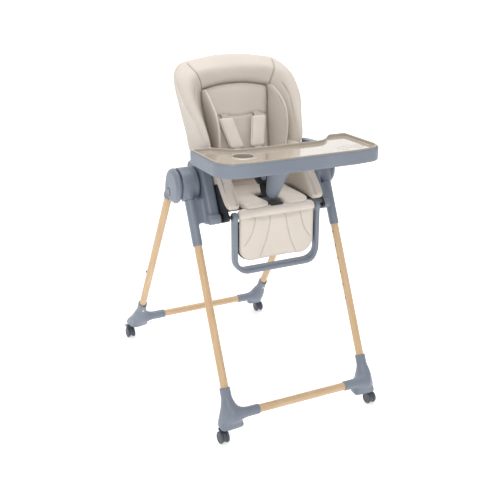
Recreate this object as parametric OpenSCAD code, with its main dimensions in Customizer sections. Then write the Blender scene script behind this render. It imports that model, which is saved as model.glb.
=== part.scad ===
// Folding baby high chair: tubular A-frame on casters, seat carriage that slides up and down
// the front legs, reclining padded backrest, swing-up leg rest and a sliding tray.
// +Z is up, the chair faces -Y, and the origin is on the floor in the middle of the chair.
// Each side piece is drawn once for +X and mirrored for the -X side.

/* [Frame] */
// Distance from the front caster wheels to the rear caster wheels
wheelbase = 819; // [805:1:835]
// Distance of each front leg from the middle plane
front_leg_x = 241; // [241:0.5:242]
// Distance of each rear leg from the middle plane
rear_leg_x = 250; // [250:0.5:251]
// Outer radius of every leg and crossbar tube
tube_r = 12.3; // [12:0.1:12.4]
// Wall thickness of the tubes
tube_wall = 1.5; // [1:0.1:2]
// Lean of the front legs from vertical, in degrees
front_lean = 24.59; // [24.3:0.05:24.9]
// Lean of the rear legs from vertical, in degrees
rear_lean = 32; // [31.7:0.1:32.3]

/* [Casters] */
// Radius of a caster wheel
wheel_r = 19; // [18:0.5:19]
// Width of one of the two wheels of a caster
wheel_w = 10; // [8:0.5:10.5]
// Distance from the swivel axis to the wheel axle
caster_trail = 11; // [9:0.5:12]

/* [Seat] */
// Recline of the backrest from vertical at rest, in degrees
back_lean = 14.4; // [13:0.1:15]
// Height of the backrest above its hinge
back_h = 420; // [412:1:424]
// Half width of the backrest at its widest
back_half_w = 187; // [184:1:189]
// Height of the seat board's underside above the floor
seat_z = 655; // [654:0.5:655]
// Half width of the leg rest pad
calf_half_w = 132; // [124:1:133]

/* [Tray] */
// Half width of the tray
tray_half_w = 265; // [264:0.5:266]
// Height of the tray's lower edge above the floor
tray_z = 812; // [812:0.5:814]
// Height of the tray's rim
tray_h = 40; // [38:1:42]

/* [Hidden] */
$fn = 48;
hull_fn = 28;                 // facets of the round pieces that are hulled together
ball_fn = 20;
gap = 0.3;                    // space between parts that move past each other
seat_fit = 0.1;               // space round a tube that is fixed in its socket
eps = 0.01;

plastic = [0.46, 0.50, 0.56];
beech = [0.80, 0.69, 0.54];
leather = [0.80, 0.76, 0.71];
dark = [0.12, 0.12, 0.13];
steel = [0.75, 0.76, 0.78];

// Front leg line: top of the foot socket, and lengths measured up the leg from there
front_foot_pos = [front_leg_x, 34.5, 163.6];
leg_below = 66;               // leg inside the foot
leg_top = 632;                // upper end, inside the hub
sleeve_bottom = 430;
hub_socket_end = 572;
sleeve_top = hub_socket_end - gap;
hole_pitch = 43.6;            // pitch of the height holes
hole_count = 6;                // the seat travels from the first to the last
first_hole = 405.5;           // highest height hole
sleeve_r = 15;

// Rear leg line
rear_foot_pos = [rear_leg_x, wheelbase - 92, 171];
rear_below = 72;
rear_top = 676;
rear_mouth = 573;
socket_r = 16.5;

// Hub
hub_y = 325;
hub_z = 717.5;
hub_r = 54;
hub_core_r = 38.2;
hub_in_x = 204;               // inner end of the drum
hub_mid_x = 229;              // inner drum ends, legs begin
hub_split_x = 256.8;          // front half ends
hub_out_x = 279;              // outer face
hub_pin_r = 6;

// Crossbars
front_bar = [150, -14.5, 94];
rear_bar = [154, wheelbase - 54, 95];
bar_into_foot = 44;
bar_socket_r = 15.2;

// Casters: swivel axes
front_caster = [263, caster_trail];
rear_caster = [274.5, wheelbase + caster_trail];
stem_r = 4;
foot_z = 43.5;                // underside of the feet

// Carriage
boss = [205, 634];            // y and z of the boss that carries the seat
boss_r = 16;
fin_in = 168;                 // inner face of the arm panel
fin_out = 200;                // outer face of the arm panel
rail_z = 790;
rail_h = 17;
height_button_x = -28;        // from the leg's middle, towards the chair's middle
button_back = 2;              // inner end of the height button, behind the leg's middle
button_travel = 4;

// Backrest
back_depth = 22;              // behind the hinge line
crown_r = 600;                // curve of the top edge
back_corner_r = 54;

// Seat, leg rest and backrest hinges
calf_hinge = [166, 645];
back_hinge = [392, 668];
shell_x = 160;
hinge_r = 5;

// Brake pedals, and the origin half way between the front crossbar's sockets and the pedals
brake_pin = [12.6, 31];       // pedal pin, back from the swivel axis and up from the floor
brake_pin_r = 2;
pedal_reach = 29.4;           // swivel axis to the end of the pedal
origin_back = (front_bar[1] - bar_socket_r + rear_caster[1] + pedal_reach) / 2;

// ---------------------------------------------------------------- placing
module place() translate([0, -origin_back, 0]) children();

module right() place() children();

module left() place() mirror([1, 0, 0]) children();

module both() {
    right() children();
    left() children();
}

// Shapes drawn in the y-z plane, extruded from x0 to x1
module slab(x0, x1) translate([x0, 0, 0]) rotate([90, 0, 90])
    linear_extrude(height = x1 - x0) children();

// Cylinder along +X from x0 to x1, through the point [y, z]
module rod(x0, x1, r, p) translate([x0, p[0], p[1]]) rotate([0, 90, 0]) cylinder(h = x1 - x0, r = r);

module on_front_leg() translate(front_foot_pos) rotate([-front_lean, 0, 0]) children();

module on_rear_leg() translate(rear_foot_pos) rotate([rear_lean, 0, 0]) children();

module on_back() translate([0, back_hinge[0], back_hinge[1]]) rotate([-back_lean, 0, 0]) children();

module ball(p, r) translate(p) sphere(r = r, $fn = ball_fn);

// ---------------------------------------------------------------- front frame
module front_leg() {
    color(beech) difference() {
        on_front_leg() translate([0, 0, -leg_below]) cylinder(h = leg_top + leg_below, r = tube_r);
        on_front_leg() translate([0, 0, -leg_below - 1])
            cylinder(h = leg_top + leg_below + 2, r = tube_r - tube_wall);
        for (i = [0 : hole_count - 1])
            on_front_leg() translate([-tube_r - 2, 0, first_hole - i * hole_pitch])
                rotate([0, 90, 0]) cylinder(h = tube_r, r = 3.5);
    }
}

// Knee that joins a leg, a crossbar and a caster
module foot_pad(c, x_in, front, back) {
    for (x = [x_in + 9, c[0] - 2]) for (y = [c[1] - front, c[1] + back])
        translate([x, y, foot_z]) cylinder(h = 12, r = 9, $fn = hull_fn);
}

module front_foot() color(plastic) difference() {
    union() {
        on_front_leg() translate([0, 0, -90]) cylinder(h = 90, r = socket_r);
        rod(front_bar[0], front_leg_x, bar_socket_r, [front_bar[1], front_bar[2]]);
        hull() {
            on_front_leg() translate([0, 0, -86]) cylinder(h = 32, r = socket_r - 0.5, $fn = hull_fn);
            foot_pad(front_caster, 196, 22, 8);
        }
        hull() {
            rod(front_bar[0] + 34, front_leg_x, bar_socket_r - 0.4, [front_bar[1], front_bar[2]]);
            foot_pad(front_caster, 196, 22, 8);
        }
    }
    on_front_leg() translate([0, 0, -leg_below]) cylinder(h = leg_below + 1, r = tube_r + seat_fit);
    rod(front_bar[0] - 1, front_bar[0] + bar_into_foot + 1, tube_r + seat_fit, [front_bar[1], front_bar[2]]);
    translate([front_caster[0], front_caster[1], foot_z - 1]) cylinder(h = 30, r = stem_r + 0.08);
}

module crossbar(end_x, p) color(beech) difference() {
    rod(-end_x, end_x, tube_r, p);
    rod(-end_x - 1, end_x + 1, tube_r - tube_wall, p);
}

module hub_sector(from, to) polygon(concat([[0, 0]],
    [for (a = [from : (to - from) / 8 : to]) 2 * hub_r * [cos(a), sin(a)]]));

module hub_inner() color(plastic) difference() {
    union() {
        rod(hub_in_x, hub_mid_x, hub_r, [hub_y, hub_z]);
        rod(hub_mid_x - eps, hub_split_x, hub_core_r, [hub_y, hub_z]);
        intersection() {
            rod(hub_mid_x - eps, hub_split_x, hub_r, [hub_y, hub_z]);
            translate([0, hub_y, hub_z]) slab(hub_mid_x - 1, hub_split_x + 1) hub_sector(75, 235);
        }
        intersection() {
            on_front_leg() translate([0, 0, hub_socket_end]) cylinder(h = 50, r = sleeve_r + 0.4);
            translate([hub_in_x, 0, 600]) cube([hub_split_x - hub_in_x, 500, 300]);
        }
    }
    on_front_leg() translate([0, 0, hub_socket_end - 5])
        cylinder(h = leg_top - hub_socket_end + 5, r = tube_r + seat_fit);
    rod(hub_in_x + 6, hub_split_x + 1, hub_pin_r + eps, [hub_y, hub_z]);
}

module hub_pin() color(steel) {
    rod(hub_in_x + 6, hub_split_x + 13, hub_pin_r, [hub_y, hub_z]);
    rod(hub_split_x + 13 - eps, hub_split_x + 16, hub_pin_r + 4, [hub_y, hub_z]);
}

// ---------------------------------------------------------------- rear frame
module rear_leg() color(beech) difference() {
    on_rear_leg() translate([0, 0, -rear_below]) cylinder(h = rear_top + rear_below, r = tube_r);
    on_rear_leg() translate([0, 0, -rear_below - 1])
        cylinder(h = rear_top + rear_below + 2, r = tube_r - tube_wall);
}

module rear_foot() color(plastic) difference() {
    union() {
        on_rear_leg() translate([0, 0, -96]) cylinder(h = 96, r = socket_r);
        rod(rear_bar[0], rear_leg_x, bar_socket_r, [rear_bar[1], rear_bar[2]]);
        hull() {
            on_rear_leg() translate([0, 0, -98]) cylinder(h = 38, r = socket_r - 0.5, $fn = hull_fn);
            foot_pad(rear_caster, 216, 12, 8);
        }
        hull() {
            rod(rear_bar[0] + 34, rear_leg_x, bar_socket_r - 0.4, [rear_bar[1], rear_bar[2]]);
            foot_pad([rear_caster[0] - 26, rear_caster[1]], 212, 16, 0);
        }
    }
    on_rear_leg() translate([0, 0, -rear_below]) cylinder(h = rear_below + 1, r = tube_r + seat_fit);
    rod(rear_bar[0] - 1, rear_bar[0] + bar_into_foot + 1, tube_r + seat_fit, [rear_bar[1], rear_bar[2]]);
    translate([rear_caster[0], rear_caster[1], foot_z - 1]) cylinder(h = 30, r = stem_r + 0.08);
}

// Outline of the hub's outer half in the y-z plane, drawn in by d all round
module hub_outline(d) hull() {
    translate([hub_y, hub_z]) circle(r = hub_r - d);
    translate([hub_y + 22, hub_z + 24]) circle(r = 21 - d / 2);
    translate([hub_y + 40, hub_z - 16]) circle(r = 20 - d / 2);
}

module hub_outer() color(plastic) difference() {
    union() {
        hull() {
            slab(hub_split_x + 0.7, hub_out_x - 12) hub_outline(0);
            slab(hub_out_x - 7, hub_out_x - 6.9) hub_outline(4);
            slab(hub_out_x - 0.1, hub_out_x) hub_outline(18);
        }
        intersection() {
            on_rear_leg() translate([0, 0, rear_mouth]) cylinder(h = rear_top + 6 - rear_mouth, r = socket_r);
            translate([hub_mid_x + 1.5, 0, 500]) cube([hub_out_x - hub_mid_x - 10, 800, 400]);
        }
    }
    on_rear_leg() translate([0, 0, rear_mouth - 5])
        cylinder(h = rear_top - rear_mouth + 5, r = tube_r + seat_fit);
    rod(hub_mid_x - 1, hub_split_x + 0.7, hub_core_r + 0.4, [hub_y, hub_z]);
    rod(hub_split_x - 1, hub_split_x + 13, hub_pin_r + 0.08, [hub_y, hub_z]);
    rod(hub_split_x + 12.5, hub_split_x + 17, hub_pin_r + 5, [hub_y, hub_z]);
    translate([0, hub_y + 22, hub_z - 22]) rod(hub_out_x - 9, hub_out_x + 1, 11.5, [0, 0]);
}

// Oval push button that frees the frame to fold
module fold_button() color(plastic)
    translate([0, hub_y + 22, hub_z - 22]) rod(hub_out_x - 5, hub_out_x + 0.5, 11, [0, 0]);

// Pegs on the rear legs that the tray hangs from when it is off the seat
module tray_hook() color(dark) {
    on_rear_leg() translate([0, tube_r, 158]) rotate([-90, 0, 0]) cylinder(h = 9, r = 3.6);
    on_rear_leg() translate([0, tube_r + 9 - eps, 158]) rotate([-90, 0, 0]) cylinder(h = 3, r = 5.6);
}

module foot_screw() color(steel) on_rear_leg() translate([0, -socket_r - 1.2, -28]) rotate([-90, 0, 0])
    cylinder(h = 1.2, r = 4);

// ---------------------------------------------------------------- casters
module at_caster(c, s) place() translate([s * c[0], c[1], 0]) children();

// Swivel fork between the two wheels; a rear one has a lug for the brake pedal's pin
module caster_fork(lug) color(dark) difference() {
    union() {
        translate([0, 0, foot_z - 10]) cylinder(h = 36, r = stem_r);
        translate([0, 0, foot_z - 5]) cylinder(h = 4, r = 10);
        intersection() {
            rod(-4.4, 4.4, wheel_r - 2, [-caster_trail, wheel_r]);
            translate([-5, -60, wheel_r - 8]) cube([10, 90, 40]);
        }
        translate([-4.4, -caster_trail, wheel_r]) cube([8.8, caster_trail + 9, foot_z - wheel_r - 2]);
        if (lug) translate([-4.4, 8, brake_pin[1] - 4]) cube([8.8, 9, 12]);
    }
    rod(-20, 20, 2.6, [-caster_trail, wheel_r]);
    if (lug) rod(-20, 20, brake_pin_r + 0.08, brake_pin);
}

module caster_wheels() color(dark) {
    for (s = [-1, 1]) translate([s * (5 + wheel_w / 2), -caster_trail, wheel_r]) rotate([0, 90, 0])
        rotate_extrude() translate([0, -wheel_w / 2]) difference() {
            union() {
                square([wheel_r - 2, wheel_w]);
                translate([0, 2]) square([wheel_r, wheel_w - 4]);
                for (y = [2, wheel_w - 2]) translate([wheel_r - 2, y]) circle(r = 2);
            }
            translate([-50, -5]) square([50, 40]);
        }
    rod(-6, 6, 2.5, [-caster_trail, wheel_r]);
}

// Foot pedal of the rear casters' brakes: two cheeks and a plate, on its own pin
module brake_pedal() color(plastic) {
    rod(-7.5, 7.5, brake_pin_r, brake_pin);
    for (x = [-8, 4.8]) {
        rod(x, x + 3.2, 4.4, brake_pin);
        translate([x, brake_pin[0], brake_pin[1] + 0.4]) cube([3.2, 7, 4]);
    }
    translate([-9, 18, brake_pin[1] + 1]) cube([18, pedal_reach - 18, 3.4]);
}

// ---------------------------------------------------------------- seat carriage
// Side outline of the arm panel: across the leg (w, backwards) and up the leg (u)
module fin_outline() hull() {
    translate([-24, 506]) circle(r = 15);
    translate([12, 502]) circle(r = 10);
    translate([-25, 684]) circle(r = 12);
    translate([54, 678]) circle(r = 22);
    translate([16, 600]) square([10, 10]);
}

// Oval of the height release button, grown by d
module button_oval(d) hull() for (v = [-12, 12]) translate([0, v]) circle(r = 7 + d);

module slider() color(plastic) difference() {
    union() {
        on_front_leg() translate([0, 0, sleeve_bottom]) cylinder(h = sleeve_top - sleeve_bottom, r = sleeve_r);
        on_front_leg() translate([fin_in + 5 - front_leg_x, -9, 495])
            cube([front_leg_x - fin_in - 9, 18, sleeve_top - 497]);
        on_front_leg() translate([fin_in - front_leg_x, 0, 0]) rotate([90, 0, 90])
            linear_extrude(height = fin_out - fin_in) fin_outline();
        rod(fin_in + 6, fin_out + 8, boss_r, boss);
        rail();
    }
    on_front_leg() translate([0, 0, sleeve_bottom - 1])
        cylinder(h = sleeve_top - sleeve_bottom + 2, r = tube_r + gap);
    rod(fin_in - 10, fin_in + 34, hinge_r + 0.1, boss);
    on_front_leg() translate([height_button_x, button_back - button_travel - gap, 532]) rotate([-90, 0, 0])
        linear_extrude(height = 30) button_oval(gap);
}

// Arm rest rail that the tray slides on; it narrows to the rear, to pass inside the hub
module rail() {
    translate([fin_in, 0, rail_z]) linear_extrude(height = rail_h) {
        hull() {
            for (x = [14, 38]) for (y = [212, 256]) translate([x, y]) circle(r = 12);
            for (x = [14, 22]) translate([x, 298]) circle(r = 12);
        }
        hull() for (x = [13.5, 22.5]) for (y = [290, 330]) translate([x, y]) circle(r = 12);
    }
    translate([fin_in, 0, rail_z + rail_h - 2]) linear_extrude(height = 17) hull() {
        for (y = [232, 256]) translate([34, y]) circle(r = 9);
        for (y = [300, 326]) translate([19, y]) circle(r = 9);
    }
}

module height_button() color(dark) on_front_leg() translate([height_button_x, button_back, 532])
    rotate([-90, 0, 0]) linear_extrude(height = 13) button_oval(0);

// Black plates between the arm panels and the seat shell
module seat_bracket() color(dark) {
    difference() {
        slab(shell_x + 0.6, fin_in - 0.4) hull() {
            translate(boss) circle(r = 15);
            translate(calf_hinge) circle(r = 11);
            translate([300, seat_z + 20]) circle(r = 26);
            translate([235, 720]) circle(r = 12);
        }
        rod(shell_x - 1, fin_in + 1, hinge_r + 0.1, boss);
        rod(shell_x - 1, fin_in + 1, hinge_r + 0.1, calf_hinge);
    }
}

// Steel pins: seat to bosses, leg rest hinge and backrest hinge
module seat_rod_set() color(dark) {
    rod(shell_x + 0.4, fin_in + 34, hinge_r, boss);
    rod(132, fin_in - 0.4, hinge_r, calf_hinge);
    rod(118, shell_x - 0.4, hinge_r, back_hinge);
}

// Outline of the seat's side panel in the y-z plane, drawn in by d
module side_outline(d) hull() {
    translate([174, 678]) circle(r = 14 - d);
    translate([238, 748]) circle(r = 12 - d);
    translate([276, 812]) circle(r = 10 - d);
    translate([352, 702]) circle(r = 10 - d);
    translate([356, 676]) circle(r = 12 - d);
}

module seat_shell() color(plastic) difference() {
    union() {
        translate([-shell_x, 192, seat_z]) cube([2 * shell_x, 186, 5]);
        for (s = [-1, 1]) {
            slab(s > 0 ? shell_x - 4 : -shell_x, s > 0 ? shell_x : 4 - shell_x) union() {
                side_outline(3);
                hull() {
                    translate([204, seat_z + 6]) circle(r = 6);
                    translate([392, seat_z + 6]) circle(r = 6);
                    translate([392, back_hinge[1]]) circle(r = 12);
                    translate([330, 690]) circle(r = 10);
                }
            }
        }
    }
    for (s = [-1, 1]) translate([s > 0 ? shell_x - 8 : -shell_x - 4, back_hinge[0], back_hinge[1]])
        rotate([0, 90, 0]) cylinder(h = 12, r = hinge_r + seat_fit);
}

module side_pad() color(leather) slab(123, shell_x - 4.5) side_outline(0);

module seat_pad() color(leather) difference() {
    union() {
        translate([-121, 170, seat_z + 8]) cube([242, 190, 21]);
        rod(-121, 121, 7.5, [168, seat_z + 16.5]);
    }
    translate([-33, 100, seat_z + 15]) cube([66, 175, 30]);
    translate([-122, 140, seat_z + 4]) cube([244, 250, 4.5]);
}

// ---------------------------------------------------------------- harness
module crotch_strap() color(dark) hull() {
    translate([-15, 236, seat_z + 15.2]) cube([30, 2.4, 1]);
    translate([-15, 250, 708]) cube([30, 2.4, 1]);
}

module buckle() color(dark) difference() {
    translate([0, 256, 726]) rotate([-24, 0, 0]) hull() {
        for (x = [-15, 15]) translate([x, 0, -11]) rotate([90, 0, 0]) cylinder(h = 13, r = 5, center = true);
        for (x = [-22, 22]) translate([x, 0, 14]) rotate([90, 0, 0]) cylinder(h = 13, r = 8, center = true);
    }
    translate([0, 256, 726]) rotate([-24, 0, 0]) translate([0, -1.6, 2]) rotate([90, 0, 0])
        cylinder(h = 12, r = 9.2);
}

module buckle_button() color(plastic) translate([0, 256, 726]) rotate([-24, 0, 0])
    translate([0, -4.6, 2]) rotate([90, 0, 0]) cylinder(h = 3.4, r = 8.8);

module waist_strap() color(leather) hull() {
    translate([33, 262, 736]) cube([2, 2.4, 24]);
    translate([116, 330, 724]) cube([2, 2.4, 24]);
}

// ---------------------------------------------------------------- backrest
// The backrest seen from the front, with height above the hinge as its second axis. It is w to
// each side at its broad rounded upper corners, and is cut off square at its lower edge.
module back_layer(w, d, lower) intersection() {
    hull() {
        translate([0, back_h - crown_r]) intersection() {
            circle(r = crown_r - d, $fn = 96);
            translate([-100, crown_r - 60]) square([200, 100]);
        }
        for (s = [-1, 1]) {
            translate([s * (w - back_corner_r), back_h - 67]) circle(r = back_corner_r - d);
            translate([s * (w - 28), 147]) circle(r = 12 - d);
            translate([s * (w - 69), 22]) circle(r = 14 - d);
        }
    }
    translate([-230, lower]) square([460, 500]);
}

module back_shell() color(plastic) on_back() difference() {
    union() {
        translate([0, 12, 0]) rotate([90, 0, 0]) linear_extrude(height = 10) back_layer(back_half_w, 2, 16);
        translate([0, back_depth, 0]) rotate([90, 0, 0]) linear_extrude(height = 10 + eps)
            back_layer(back_half_w - 9, 2, 16);
        translate([0, back_depth + 4, 0]) rotate([90, 0, 0]) linear_extrude(height = 5)
            back_layer(back_half_w - 60, 0, 60);
        for (x = [-136, 122]) {
            rod(x, x + 14, 10, [0, 0]);
            translate([x, 3, -2]) cube([14, 15, 50]);
        }
    }
    rod(-140, 140, hinge_r + 0.08, [0, 0]);
}

module back_pad() color(leather) on_back() translate([0, 1.6, 0]) rotate([90, 0, 0])
    linear_extrude(height = 27) back_layer(back_half_w, 0, 16);

// Padded side wing: middles of its rear and front edge at a few heights, as [across, forward, up]
wing_rear = [[132, 36, 70], [154, 36, 142], [164, 36, 200], [172, 36, 258], [182, 36, 326]];
wing_front = [[150, 121, 121], [156, 139, 146], [170, 112, 197], [184, 95, 242], [200, 62, 318]];

module wing() color(leather) on_back() for (i = [0 : 3]) hull() for (k = [i, i + 1]) {
    ball([wing_rear[k][0], -wing_rear[k][1], wing_rear[k][2]], 8);
    ball([wing_front[k][0], -wing_front[k][1], wing_front[k][2]], 8.5);
}

module shoulder_pad() color(leather) on_back() hull() {
    for (x = [37, 76]) ball([x, -52, 214], 6);
    for (x = [17, 58]) ball([x, -64, 130], 6);
}

module shoulder_strap() color(leather) on_back() {
    hull() {
        translate([24, -66, 122]) cube([28, 2, 1]);
        translate([14, -104, 66]) cube([24, 2, 1]);
    }
    hull() {
        translate([42, -47, 220]) cube([28, 2, 1]);
        translate([42, -27.6, 236]) cube([28, 2, 1]);
    }
}

// Squeeze handle behind the backrest, on two lugs
module recline_handle() color(dark) on_back() {
    for (s = [-1, 1]) translate([s * 38 - 5, back_depth + 5.4, 322]) cube([10, 16, 12]);
    translate([0, back_depth + 24, 328]) rotate([0, 90, 0]) translate([0, 0, -46]) cylinder(h = 92, r = 8);
}

// ---------------------------------------------------------------- leg rest
bar_x = 141.5;                  // middle of the side arms of the footrest bar
bar_y = calf_hinge[0];
bar_bottom = 470;
bar_bend = 48;

// Height in the x-z plane of the bar's U, as a ring of the given width
module footrest_u(w) difference() {
    hull() {
        for (s = [-1, 1]) translate([s * (bar_x + w / 2 - bar_bend), bar_bottom - w / 2 + bar_bend])
            circle(r = bar_bend);
        translate([-bar_x - w / 2, calf_hinge[1] - 10]) square([2 * bar_x + w, 10]);
    }
    hull() {
        for (s = [-1, 1]) translate([s * (bar_x + w / 2 - bar_bend), bar_bottom - w / 2 + bar_bend])
            circle(r = bar_bend - w);
        translate([-bar_x + w / 2, calf_hinge[1] + 10]) square([2 * bar_x - w, 10]);
    }
}

module footrest_bar() color(plastic) place() difference() {
    union() {
        translate([0, bar_y + 8, 0]) rotate([90, 0, 0]) linear_extrude(height = 16) footrest_u(12);
        intersection() {
            translate([0, bar_y + 17, 0]) rotate([90, 0, 0]) linear_extrude(height = 34) footrest_u(12);
            translate([-200, 0, 400]) cube([400, 400, 88]);
        }
        for (s = [-1, 1]) rod(s > 0 ? bar_x - 7 : -bar_x - 6, s > 0 ? bar_x + 6 : 7 - bar_x, 12, calf_hinge);
        for (s = [-1, 1]) translate([s > 0 ? bar_x - 9 : 3 - bar_x, bar_y + 2, 545]) cube([6, 6, 45]);
    }
    for (s = [-1, 1]) rod(s > 0 ? bar_x - 10 : -bar_x - 10, s > 0 ? bar_x + 10 : 10 - bar_x,
                          hinge_r + 0.08, calf_hinge);
}

module calf_outline(d, top) hull() {
    for (s = [-1, 1]) {
        translate([s * (calf_half_w - 50), 545]) circle(r = 50 - d);
        translate([s * (calf_half_w - 8), 600]) circle(r = 8 - d);
        translate([s * (calf_half_w - 8), top - 8]) circle(r = 8 - d);
    }
}

module calf_plate() color(dark) place() {
    translate([0, calf_hinge[0] + 12, 0]) rotate([90, 0, 0]) linear_extrude(height = 4) calf_outline(2, 626);
    for (s = [-1, 1]) translate([s > 0 ? 127 : -138, calf_hinge[0] + 8.1, 548]) cube([11, 3.8, 40]);
}

module calf_pad() color(leather) place() {
    translate([0, calf_hinge[0] + 7.8, 0]) rotate([90, 0, 0]) linear_extrude(height = 24) calf_outline(0, 647);
    rod(-calf_half_w + 1, calf_half_w - 1, 15, [calf_hinge[0], calf_hinge[1]]);
}

// ---------------------------------------------------------------- tray
corner_r = 62;
tray_front = -21;
tray_back = 208;              // rear ends of the tray's arms

// Plan of the tray, drawn in by d all round
module tray_outline(d) difference() {
    hull() {
        for (s = [-1, 1]) {
            translate([s * (tray_half_w - corner_r), tray_front + 5 + corner_r]) circle(r = corner_r - d);
            translate([s * (tray_half_w - 12), tray_back - 12]) circle(r = 12 - d);
        }
        intersection() {
            translate([0, tray_front + 900]) circle(r = 900 - d, $fn = 180);
            translate([-140, -60]) square([280, 120]);
        }
    }
    hull() {
        for (s = [-1, 1]) translate([s * 118, 202]) circle(r = 55 + d);
        translate([-212 - d, 228]) square([424 + 2 * d, 20]);
    }
}

cup = [-148, 92];
cup_r = 33;
cup_z = 797;
recess = [186, 66];

module tray_base() color(plastic) place() difference() {
    union() {
        difference() {
            translate([0, 0, tray_z]) linear_extrude(height = tray_h) tray_outline(0);
            translate([0, 0, tray_z - 1]) linear_extrude(height = tray_h - 12) tray_outline(3.2);
            translate([0, 0, tray_z + tray_h - 9]) linear_extrude(height = 20) tray_outline(4.5);
        }
        translate([cup[0], cup[1], cup_z - 3]) cylinder(h = tray_z + tray_h - 9 - cup_z + 3, r = cup_r + 3);
        for (x = [-212, 198]) translate([x, 130, rail_z + rail_h + gap]) cube([14, 66, 32]);
    }
    translate([cup[0], cup[1], cup_z]) cylinder(h = 80, r = cup_r);
    for (s = [-1, 1]) translate([s * 231 - 13.4, tray_back - 12, tray_z + 13.6]) cube([26.8, 30, 12.8]);
}

module tray_insert() color([0.82, 0.79, 0.75]) place() difference() {
    union() {
        difference() {
            translate([0, 0, tray_z + tray_h - 8.6]) linear_extrude(height = 12) tray_outline(5.2);
            translate([0, 0, tray_z + tray_h - 6.2]) linear_extrude(height = 20) tray_outline(10);
        }
        translate([cup[0], cup[1], cup_z + 0.6]) cylinder(h = 50, r = cup_r - 0.6);
    }
    translate([cup[0], cup[1], cup_z + 3]) cylinder(h = 80, r = cup_r - 3);
    for (a = [0 : 2]) translate([recess[0] - 26 + 26 * a, recess[1] + (a == 1 ? 12 : -4), tray_z + tray_h - 7.6])
        cylinder(h = 20, r = 10.5);
}

module tray_post() color(plastic) place() {
    hull() {
        translate([0, 126, tray_z - 1]) scale([1.15, 0.8, 1]) cylinder(h = 0.9, r = 34, $fn = hull_fn);
        translate([0, 152, 776]) cylinder(h = 1, r = 35, $fn = hull_fn);
        ball([0, 190, 697], 21);
    }
    translate([0, 116, tray_z - 1]) cylinder(h = tray_h - 12.4, r = 14);
}

// Latch tab at the rear end of each tray arm
module tray_latch() color(dark) translate([218, tray_back - 6, tray_z + 14]) cube([26, 12, 12]);

// ---------------------------------------------------------------- the chair
left() front_leg();  // front_leg_l
right() front_leg();  // front_leg_r
left() front_foot();  // front_foot_l
right() front_foot();  // front_foot_r
place() crossbar(front_bar[0] + bar_into_foot, [front_bar[1], front_bar[2]]);  // front_crossbar
left() hub_inner();  // hub_inner_l
right() hub_inner();  // hub_inner_r
both() hub_pin();  // hub_pins
left() rear_leg();  // rear_leg_l
right() rear_leg();  // rear_leg_r
left() rear_foot();  // rear_foot_l
right() rear_foot();  // rear_foot_r
place() crossbar(rear_bar[0] + bar_into_foot, [rear_bar[1], rear_bar[2]]);  // rear_crossbar
left() hub_outer();  // hub_outer_l
right() hub_outer();  // hub_outer_r
both() tray_hook();  // tray_hooks
both() foot_screw();  // foot_screws
left() fold_button();  // fold_button_l
right() fold_button();  // fold_button_r
at_caster(front_caster, -1) caster_fork(false);  // caster_fork_fl
at_caster(front_caster, 1) caster_fork(false);  // caster_fork_fr
at_caster(rear_caster, -1) caster_fork(true);  // caster_fork_rl
at_caster(rear_caster, 1) caster_fork(true);  // caster_fork_rr
at_caster(front_caster, -1) caster_wheels();  // caster_wheels_fl
at_caster(front_caster, 1) caster_wheels();  // caster_wheels_fr
at_caster(rear_caster, -1) caster_wheels();  // caster_wheels_rl
at_caster(rear_caster, 1) caster_wheels();  // caster_wheels_rr
at_caster(rear_caster, -1) brake_pedal();  // brake_pedal_l
at_caster(rear_caster, 1) brake_pedal();  // brake_pedal_r
left() slider();  // slider_l
right() slider();  // slider_r
both() seat_bracket();  // seat_brackets
place() seat_shell();
both() seat_rod_set();  // seat_rods
place() seat_pad();
left() side_pad();  // side_pad_l
right() side_pad();  // side_pad_r
left() height_button();  // height_button_l
right() height_button();  // height_button_r
place() crotch_strap();
both() waist_strap();  // waist_straps
place() buckle();
place() buckle_button();
place() back_shell();
place() back_pad();
left() wing();  // wing_l
right() wing();  // wing_r
left() shoulder_pad();  // shoulder_pad_l
right() shoulder_pad();  // shoulder_pad_r
both() shoulder_strap();  // shoulder_straps
place() recline_handle();
footrest_bar();
calf_plate();
calf_pad();
tray_base();
tray_post();
tray_insert();
left() tray_latch();  // tray_latch_l
right() tray_latch();  // tray_latch_r
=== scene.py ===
"""Baby high chair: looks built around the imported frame. Lengths in the tables are millimetres."""
import math

import bmesh
import bpy
import numpy as np
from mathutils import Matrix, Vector


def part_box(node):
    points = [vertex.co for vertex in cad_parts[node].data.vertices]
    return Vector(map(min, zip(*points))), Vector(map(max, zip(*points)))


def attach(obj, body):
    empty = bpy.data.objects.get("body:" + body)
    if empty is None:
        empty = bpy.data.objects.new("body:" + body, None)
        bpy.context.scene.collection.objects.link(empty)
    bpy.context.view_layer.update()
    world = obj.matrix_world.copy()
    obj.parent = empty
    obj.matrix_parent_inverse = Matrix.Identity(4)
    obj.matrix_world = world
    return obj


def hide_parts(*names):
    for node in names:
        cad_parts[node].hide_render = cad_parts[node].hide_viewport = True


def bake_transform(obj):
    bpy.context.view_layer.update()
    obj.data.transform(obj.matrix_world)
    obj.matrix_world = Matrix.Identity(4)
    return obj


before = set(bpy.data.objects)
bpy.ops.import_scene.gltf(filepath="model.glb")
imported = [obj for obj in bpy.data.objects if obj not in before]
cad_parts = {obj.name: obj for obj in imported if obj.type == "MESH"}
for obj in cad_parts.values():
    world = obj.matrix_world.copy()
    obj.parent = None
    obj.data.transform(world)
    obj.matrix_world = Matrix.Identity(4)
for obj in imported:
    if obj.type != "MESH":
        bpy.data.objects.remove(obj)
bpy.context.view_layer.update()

MM = 0.001
SIDES = {"l": -1, "r": 1}


def middle(node):
    """Middle of a CAD node's box, in millimetres."""
    low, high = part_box(node)
    return (low + high) / 2 / MM


# The chair's own y is 0 at the line between the front wheel axles; the frame's origin is behind it.
FRONT_BAR_Y = -14.5
ORIGIN_Y = middle("front_crossbar").y - FRONT_BAR_Y

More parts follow.
